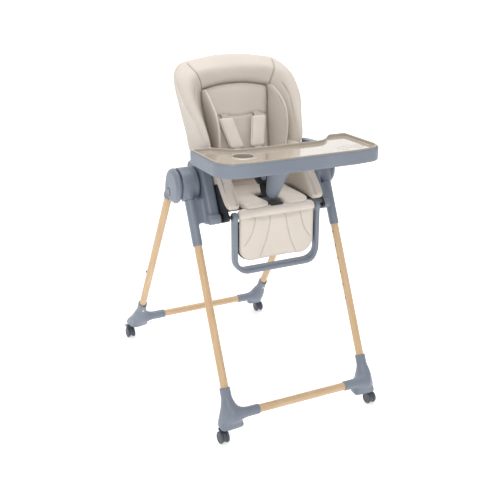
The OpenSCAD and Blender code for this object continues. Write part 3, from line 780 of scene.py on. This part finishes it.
def bowl():
    """Padded rim of the backrest: head panel, corners and the two wings, in one skin."""
    half = np.array(BOWL, float)
    crest, shell = half[:, 3], half[:, 4]
    outside = (crest + shell) / 2 + [2, 1, 0]
    behind = half[:, 0] + [3, 0, 0]
    behind[:, 2] = -6
    half = np.stack([half[:, 0], half[:, 1], half[:, 2], crest, outside, shell, behind], axis=1)
    rows = np.concatenate([mirrored(half, -1), mirrored(half[-2::-1], 1)])
    dense = np.stack([spread(rows[:, k], 73) for k in range(rows.shape[1])], axis=1)
    dense = np.stack([closed_spread(row, RING_STEPS) for row in dense])
    piece = grid("backrest_bowl", on_back(dense.reshape(-1, 3)).reshape(dense.shape), LEATHER)
    subdivided(piece, 2)
    corner = [(119, 320), (127, 345), (141, 376), (150, 402)]
    press(piece, [mirrored(corner, side) for side in SIDES.values()], to_back, (0, 1), 2.8, 2.6,
          lambda q: q[:, 2] > -2)
    edge = [(340, 40), (304, 60), (266, 78), (232, 93), (192, 108), (138, 118), (94, 86), (60, 56)]
    press(piece, [edge], to_back, (1, 2), 2.4, 1.6, lambda q: (np.abs(q[:, 0]) > 150) & (q[:, 1] < 336), 0.5)
    return piece


bowl_piece = bowl()
belongs(bowl_piece, "backrest", "wing_l", "wing_r", "back_pad")

# Root and rim of the liner's side flap, which stands inside the bowl beside the middle cushion.
FLAP_ROOT = [(102, 52, 16), (104, 92, 16), (106, 140, 17), (109, 182, 18), (112, 222, 19), (115, 255, 20),
             (118, 288, 22), (117, 314, 24)]
FLAP_RIM = [(110, 52, 62), (113, 92, 92), (117, 140, 114), (119, 184, 126), (121, 224, 124), (122, 252, 110),
            (121, 284, 85), (117, 317, 46)]


def liner_flaps():
    """Thin padded flaps of the seat liner, with a piped rim."""
    for key, side in SIDES.items():
        root, rim = spread(FLAP_ROOT, 22), spread(FLAP_RIM, 22)
        middle_line = (root + rim) / 2
        ring = [root + [-5, 0, 0], middle_line + [-7, 0, 0], rim + [-4.5, 0, -5], rim + [-1, 0, 1],
                rim + [1.5, 0, 0], rim + [4, 0, -6], middle_line + [4.5, 0, 0], root + [4, 0, 0]]
        rows = mirrored(np.stack(ring, axis=1), side)
        dense = np.stack([closed_spread(row, 3) for row in rows])
        piece = grid("liner_flap_" + key, on_back(dense.reshape(-1, 3)).reshape(dense.shape), LEATHER)
        subdivided(piece, 1)
        press(piece, [[tuple(q[1:]) for q in rim + [0, 0, -5.5]]], to_back, (1, 2), 1.7, 1.5, None, 0.5)
        belongs(piece, "backrest")


liner_flaps()


def insert_half_width(up):
    """Half width of the middle cushion at a height above the hinge."""
    return np.interp(up, [16, 60, 140, 222, 288, 318], [94, 100, 104, 109, 117, 117])


def back_cushion(p):
    """Middle cushion of the backrest, under an arched top edge, in backrest coordinates."""
    across, up, forward = p
    top = 335 - 15 * (across / 112) ** 2
    plan = rounded_max(np.abs(across) - insert_half_width(up), between(up, 18, 1e3), 10)
    plan = rounded_max(plan, up - top, 8)
    crown = 3.5 * np.clip(1 - (across / 108) ** 2, 0, 1)
    return rounded_max(plan, between(forward, 2.5, 23 + crown), 8)


def local_net(name, field, low, high, step, material, to_world):
    """Mesh of a solid drawn in local millimetres, then moved to its place on the chair."""
    piece = net(name, field, low, high, step, material)
    set_points(piece, (to_world(to_chair(points_of(piece))) + [0, ORIGIN_Y, 0]) * MM)
    return piece


cushion = local_net("back_cushion", back_cushion, (-124, 8, -4), (124, 344, 34), 3.0, LEATHER, on_back)
outward(cushion)
inflate(cushion, 4.5, 6)
channel = [(-104, 226), (-60, 231), (-20, 227), (20, 227), (60, 231), (104, 226)]
press(cushion, [channel], to_back, (0, 1), 4.5, 3.0, lambda q: q[:, 2] > 12, 0.25)
belongs(cushion, "backrest")


def back_liner():
    """Fabric over the shell between the cushion and the bowl, seen at the dark gaps."""
    section = ((-1, 0.5), (-1, 6), (-0.5, 7), (0, 7), (0.5, 7), (1, 6), (1, 0.5))
    rows = []
    for up in np.linspace(20, 400, 20):
        w = float(np.interp(up, [20, 60, 140, 222, 318, 360, 400], [108, 132, 150, 160, 168, 150, 90]))
        rows.append([(w * s, up, f) for s, f in section])
    dense = np.array(rows)
    piece = grid("back_liner", on_back(dense.reshape(-1, 3)).reshape(dense.shape), LEATHER)
    subdivided(piece, 1)
    belongs(piece, "backrest")


back_liner()


def shoulder_pads():
    """Two padded sleeves that run down and in from the shoulders."""
    for key, side in SIDES.items():
        def sleeve(p):
            across, up, forward = p
            share = np.clip((214 - up) / 84, -0.3, 1.3)
            middle_x, middle_f = 57 - 20 * share, 50 + 12 * share
            plan = rounded_max(np.abs(across - middle_x) - (27 - 1.0 * share), between(up, 124, 222), 8)
            return rounded_max(plan, np.abs(forward - middle_f) - 6.4, 6)
        piece = local_net("shoulder_sleeve_" + key, sleeve, (2, 114, 34), (96, 232, 80), 2.2, LEATHER_PALE,
                          on_back)
        points = points_of(piece)
        points[:, 0] *= side
        set_points(piece, points)
        outward(piece)
        inflate(piece, 3.2, 3)
        edges = [mirrored(e, side) for e in ([(34, 216), (15, 130)], [(80, 216), (60, 130)])]
        press(piece, edges, to_back, (0, 1), 1.6, 1.2, lambda q: q[:, 2] > 44, 0.5)
        belongs(piece, "backrest", "shoulder_pad_" + key)


shoulder_pads()


def ribbon(name, line, width, thick, material, to_world=same, flat=(1, 0, 0)):
    """Strap along a line: width runs along flat, with softly rounded edges."""
    line = spread(line, 24)
    along = np.gradient(line, axis=0)
    along /= np.linalg.norm(along, axis=1)[:, None]
    across = np.array(flat, float) - along * (along @ np.array(flat, float))[:, None]
    across /= np.linalg.norm(across, axis=1)[:, None]
    up = np.cross(along, across)
    section = [(-1, -0.4), (-0.94, -1), (0, -1), (0.94, -1), (1, -0.4), (1, 0.4), (0.94, 1), (0, 1),
               (-0.94, 1), (-1, 0.4)]
    rows = np.stack([line + across * (a * width / 2) + up * (b * thick / 2) for a, b in section], axis=1)
    piece = grid(name, to_world(rows.reshape(-1, 3)).reshape(rows.shape), material)
    return subdivided(piece, 1)


def harness():
    """Straps above and below the shoulder sleeves, about the waist and up from the crotch."""
    above = [(57, 216, 50), (57, 226, 44), (57, 233, 34), (57, 236, 20)]
    below = [(38, 128, 62), (33, 104, 78), (28, 82, 94), (26, 66, 103)]
    about = [(30, 262, 748), (58, 274, 752), (90, 300, 744), (118, 332, 734)]
    for key, side in SIDES.items():
        upper = ribbon("shoulder_strap_upper_" + key, mirrored(above, side), 25, 2.2, STRAP, on_back)
        lower = ribbon("shoulder_strap_lower_" + key, mirrored(below, side), 25, 2.2, STRAP, on_back)
        belongs(upper, "backrest", *(["shoulder_straps"] if side > 0 else []))
        belongs(lower, "backrest")
        waist = ribbon("waist_strap_" + key, mirrored(about, side), 24, 2.2, STRAP, same, (0, 0, 1))
        belongs(waist, "seat_carriage", *(["waist_straps"] if side > 0 else []))
    up_middle = [(0, 232, 673), (0, 238, 684), (0, 246, 698), (0, 252, 714)]
    crotch = ribbon("crotch_webbing", up_middle, 30, 2.4, STRAP_DARK)
    belongs(crotch, "seat_carriage", "crotch_strap")


harness()


# --- seat
def seat_cushion(p):
    """Seat cushion with two front lobes beside the crotch strap."""
    side, y, z = np.abs(p[0]), p[1], p[2]
    plan = convex(side, y, [(46, 182, 24), (94, 178, 22), (100, 340, 18), (0, 346, 14)])
    slot = convex(side, y, [(0, 120, 20), (0, 160, 24), (0, 236, 30)])
    plan = rounded_max(plan, 2 - slot, 8)
    return rounded_max(plan, between(z, SEAT_Z + 7, SEAT_Z + 25), 8)


seat = net("seat_cushion", seat_cushion, (-126, 146, 652), (126, 366, 690), 2.6, LEATHER_PALE)
inflate(seat, 4, 5)
belongs(seat, "seat_carriage", "seat_pad")

SIDE_OUTLINE = [(172, 678, 16), (232, 748, 14), (270, 806, 12), (352, 806, 12), (356, 676, 12)]


def side_cushions():
    """Padded panels on both sides of the seat."""
    for key, side in SIDES.items():
        def cushion_field(p):
            return rounded_max(convex(p[1], p[2], [(y, z, r - 1.5) for y, z, r in SIDE_OUTLINE]),
                               between(p[0], 125, 163), 8)
        piece = net("side_cushion_" + key, cushion_field, (116, 146, 650), (172, 378, 832), 2.8, LEATHER,
                    side)
        outward(piece)
        inflate(piece, 4, 3)
        press(piece, [[(152, 668), (164, 690), (224, 757), (262, 812)]], to_chair, (1, 2), 2.0, 1.4,
              lambda q: np.abs(q[:, 0]) < 140, 0.5)
        belongs(piece, "seat_carriage", "side_pad_" + key)


side_cushions()


def roll(name, stations, material, parts=14):
    """Closed round roll through stations (x, y, z, radius)."""
    turns = np.linspace(0, math.tau, parts, endpoint=False)
    rows = [[(x, y + r * math.cos(a), z + r * math.sin(a)) for a in turns] for x, y, z, r in stations]
    return subdivided(grid(name, rows, material), 2)


def leg_rest():
    """Calf pad with four stitched curves, under a roll at the hinge."""
    def pad_field(p):
        side = np.abs(p[0])
        plan = convex(side, p[2], [(83, 545, 49), (124, 600, 7), (123, 638, 7), (0, 545, 49), (0, 638, 7)])
        return rounded_max(plan, between(p[1], 156, 171.5), 6)
    pad = net("calf_cushion", pad_field, (-138, 146, 490), (138, 178, 652), 2.8, LEATHER_PALE)
    inflate(pad, 4, 5)
    lines = []
    for side in SIDES.values():
        lines.append(mirrored([(24, 652), (29, 615), (42, 560), (66, 503)], side))
        lines.append(mirrored([(77, 652), (80, 622), (92, 585), (114, 552)], side))
    press(pad, lines, to_chair, (0, 2), 2.2, 1.8, lambda q: q[:, 1] < 162, 0.55)
    belongs(pad, "legrest", "calf_pad")
    stitch_rows("calf_stitches", pad, lines)
    stations = [(-131, 166, 645, 4), (-130, 165, 647, 12), (-118, 166, 650, 16.5)]
    stations += [(x, 167, 651, 17.5) for x in range(-90, 91, 30)]
    stations += [(-x, y, z, r) for x, y, z, r in stations[2::-1]]
    hinge_roll = roll("calf_roll", stations, LEATHER_PALE)
    belongs(hinge_roll, "legrest")


def stitch_rows(name, pad, lines, pitch=5.0, off=2.6):
    """Short thread dashes beside each seam, on one side of it, lying on the pad's front."""
    points = to_chair(points_of(pad))
    front = points[points[:, 1] < 162]
    verts, faces = [], []
    for line in lines:
        dense = spread(line, 60)
        reach = np.concatenate([[0], np.cumsum(np.linalg.norm(np.diff(dense, axis=0), axis=1))])
        for s in np.arange(3, reach[-1] - 3, pitch):
            x, z = (np.interp(s, reach, dense[:, k]) for k in range(2))
            xa, za = (np.interp(s + 1, reach, dense[:, k]) for k in range(2))
            direction = np.array([xa - x, 0, za - z])
            direction /= np.linalg.norm(direction)
            normal = np.array([direction[2], 0, -direction[0]])
            spot = np.array([x, 0, z]) + normal * off
            nearest = front[np.argmin((front[:, 0] - spot[0]) ** 2 + (front[:, 2] - spot[2]) ** 2)]
            spot[1] = nearest[1] - 0.1
            start = len(verts)
            for along, r in ((-1.5, 0.15), (-0.9, 0.42), (0.9, 0.42), (1.5, 0.15)):
                for k in range(5):
                    a = math.tau * k / 5
                    round_it = normal * r * math.cos(a) + np.array([0, r * math.sin(a), 0])
                    verts.append(spot + direction * along + round_it)
            for i in range(3):
                first = start + i * 5
                for k in range(5):
                    b = (k + 1) % 5
                    faces.append((first + k, first + b, first + 5 + b, first + 5 + k))
            faces.append(tuple(start + k for k in range(4, -1, -1)))
            faces.append(tuple(start + 15 + k for k in range(5)))
    piece = new_piece(name, verts, faces, STRAP)
    outward(piece)
    belongs(piece, "legrest")


leg_rest()


def hinge_fold():
    """Padded strip from the seat's rear edge up to the backrest's lower edge."""
    low = [(0, 348, 672), (0, 366, 676), (0, 380, 684)]
    high = [tuple(q) for q in on_back([(0, 22, 22), (0, 34, 24)])]
    path = spread(low + high, 13)
    rows = []
    for x in np.linspace(-96, 96, 13):
        edge = 1 - 0.35 * (abs(x) / 96) ** 6
        front = [(x, y - 4 * edge, z + 3 * edge) for _, y, z in path]
        rear = [(x, y + 4, z - 4) for _, y, z in path[::-1]]
        rows.append(front + rear)
    piece = subdivided(grid("seat_back_fold", rows, LEATHER), 1)
    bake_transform(piece)


hinge_fold()


def crotch_strap_and_shadow():
    """Dark webbing strip between the seat's lobes, over the seat board's front edge: partly the crotch
    strap, partly painted shadow of the crotch post.
    """
    line = [(0, 158, 661), (0, 163, 668), (0, 178, 670), (0, 210, 670.5), (0, 240, 671)]
    # Dark strip that stands for the crotch strap and for the crotch post's shadow on the board.
    belongs(ribbon("crotch_strap_and_shadow", line, 44, 3.0, STRAP_DARK), "seat_carriage")


crotch_strap_and_shadow()


# --- small hardware
def lathe(name, profile, centre, axis, material, parts=40):
    """Turned piece: profile of (along, radius) about an axis of the chair through centre."""
    other = [k for k in range(3) if k != axis]
    rows = []
    for along, r in profile:
        row = []
        for a in np.linspace(0, math.tau, parts, endpoint=False):
            point = [0.0, 0.0, 0.0]
            point[axis] = centre[axis] + along
            point[other[0]] = centre[other[0]] + r * math.cos(a)
            point[other[1]] = centre[other[1]] + r * math.sin(a)
            row.append(point)
        rows.append(row)
    return grid(name, rows, material)


CASTERS = {"fl": (-263, 11), "fr": (263, 11), "rl": (-274.5, 830), "rr": (274.5, 830)}


def casters():
    """Twin wheels with a tyre band, a step and a dished face."""
    half = [(0, 4), (0, 15), (0.8, 17.6), (2.2, 18.7), (4.2, WHEEL_R), (6, 18.9), (8.2, 18.2), (9.4, 16.6),
            (9.6, 15), (8.4, 14), (7.6, 11), (7.8, 8), (8.8, 6), (9.2, 3), (9.2, 0.4)]
    for key, (x, y) in CASTERS.items():
        axle_y = y - WHEEL_TRAIL
        parts = []
        for side in (-1, 1):
            profile = [(side * a, r) for a, r in half]
            parts.append(lathe("wheel_half", profile, (x + side * 5.2, axle_y, WHEEL_R), 0, WHEEL, 48))
        wheel = joined("caster_wheel_pair_" + key, parts)
        subdivided(wheel, 1)
        belongs(wheel, "wheels_" + key, "caster_wheels_" + key)


def joined(name, parts):
    """One mesh from several, under a new name."""
    work = bmesh.new()
    for part in parts:
        work.from_mesh(part.data)
    mesh = bpy.data.meshes.new(name)
    work.to_mesh(mesh)
    work.free()
    mesh.materials.append(parts[0].data.materials[0])
    mesh.shade_smooth()
    for part in parts:
        bpy.data.objects.remove(part)
    piece = placed(name, mesh)
    return piece


casters()


def snaps():
    """Dark press studs on the front faces of the side cushions."""
    for key, side in SIDES.items():
        profile = [(3, 2), (1.5, 4), (0, 4.3), (-1.4, 4), (-2, 2.6), (-1.6, 1.4), (-1.5, 0.2)]
        piece = lathe("side_snap_" + key, profile, (side * 155, 209, 736), 1, BLACK, 24)
        belongs(piece, "seat_carriage")


snaps()


def screws():
    """Screws in the faces of the rear castings."""
    for key, side in SIDES.items():
        spot = leaned([(0, -17.4, -28)], REAR_FOOT, REAR_LEAN)[0]
        profile = [(1.5, 4.2), (0, 4.2), (-0.9, 3.6), (-1.3, 2.2), (-1.0, 1.2), (-0.4, 0.3)]
        piece = lathe("rear_screw_" + key, profile, (side * spot[0], spot[1], spot[2]), 1, STEEL, 24)
        belongs(piece, "rear_frame", *(["foot_screws"] if side > 0 else []))


screws()


# --- CAD nodes that stay
def soften(node, width=0.8):
    """Eases the moulded edges of a CAD node with modifiers; its mesh stays."""
    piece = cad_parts[node]
    weld = piece.modifiers.new("weld", "WELD")
    weld.merge_threshold = 0.00002
    bevel = piece.modifiers.new("bevel", "BEVEL")
    bevel.width = width * MM
    bevel.segments = 2
    bevel.limit_method = "ANGLE"
    bevel.angle_limit = math.radians(40)
    bevel.harden_normals = True


def pairs(*names):
    """Names of the left and right nodes."""
    return [name + "_" + key for name in names for key in SIDES]


NODE_FINISH = {
    SLATE: pairs("fold_button", "brake_pedal") + ["seat_shell", "back_shell", "buckle_button"],
    BLACK: pairs("height_button", "tray_latch") + ["tray_hooks", "seat_brackets", "seat_rods", "buckle",
                                                   "calf_plate", "recline_handle"],
    WHEEL: ["caster_fork_" + key for key in CASTERS],
    STEEL: ["hub_pins"],
    WOOD_FRONT: pairs("front_leg"),
    WOOD_REAR: pairs("rear_leg"),
    WOOD_BAR: ["front_crossbar", "rear_crossbar"],
}
for finish, nodes in NODE_FINISH.items():
    for node in nodes:
        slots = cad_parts[node].data.materials
        for k in range(len(slots)):
            slots[k] = finish
        if not slots:
            slots.append(finish)
        if finish not in (WOOD_FRONT, WOOD_REAR, WOOD_BAR):
            soften(node)


# --- stage, light and camera
def stage():
    """White paper floor that curves up behind the chair, in metres."""
    flat_end, bend, half_width = 2.5, 1.5, 8
    profile = [(-6, 0), (flat_end, 0)]
    for a in np.linspace(0.15, math.pi / 2, 10):
        profile.append((flat_end + bend * math.sin(a), bend - bend * math.cos(a)))
    profile.append((flat_end + bend, 6))
    verts = [(x, y, z) for y, z in profile for x in (-half_width, half_width)]
    faces = [(2 * i, 2 * i + 1, 2 * i + 3, 2 * i + 2) for i in range(len(profile) - 1)]
    mesh = bpy.data.meshes.new("studio_floor")
    mesh.from_pydata(verts, [], faces)
    mesh.shade_smooth()
    floor = placed("studio_floor", mesh)
    s = Shader("studio_paper")
    paper = s.ramp(s.noise(3, 2), [(0.3, (0.9, 0.9, 0.9, 1)), (0.7, (0.93, 0.93, 0.93, 1))])
    rough = s.span(s.noise(20, 2), 0.75, 0.85)
    mesh.materials.append(s.finish(paper, rough, Emission_Color=(1, 1, 1, 1), Emission_Strength=0.42))


def area_light(name, place, aim, size, power):
    """Square lamp of a size in metres and a power in watts, turned to what it lights."""
    data = bpy.data.lights.new(name, "AREA")
    data.shape = "SQUARE"
    data.size = size
    data.energy = power
    lamp = placed(name, data)
    lamp.location = place
    lamp.rotation_euler = (Vector(aim) - Vector(place)).to_track_quat("-Z", "Y").to_euler()


def lights():
    """White surroundings, a soft key lamp in front and a wide one overhead."""
    world = bpy.data.worlds.new("studio_world")
    bpy.context.scene.world = world
    world.use_nodes = True
    background = world.node_tree.nodes["Background"]
    background.inputs["Color"].default_value = (1, 1, 1, 1)
    background.inputs["Strength"].default_value = 0.66
    area_light("key", (-1.4, -2.8, 2.6), (0, 0, 0.6), 1.6, 40)
    area_light("top", (0.4, 0.6, 3.2), (0, 0, 0.5), 2.0, 42)
    bpy.context.scene.view_settings.view_transform = "Standard"


def camera():
    """Camera that stands to the chair's right front, looking down on it."""
    data = bpy.data.cameras.new("camera")
    data.lens = 59.08
    data.sensor_width = 36
    made = placed("camera", data)
    made.location = at(-1143.5, -1934.2, 1381.7)
    down, turn = 19.862, -26.645
    made.rotation_euler = (math.radians(90 - down), 0, math.radians(turn))
    bpy.context.scene.camera = made


stage()
lights()
camera()
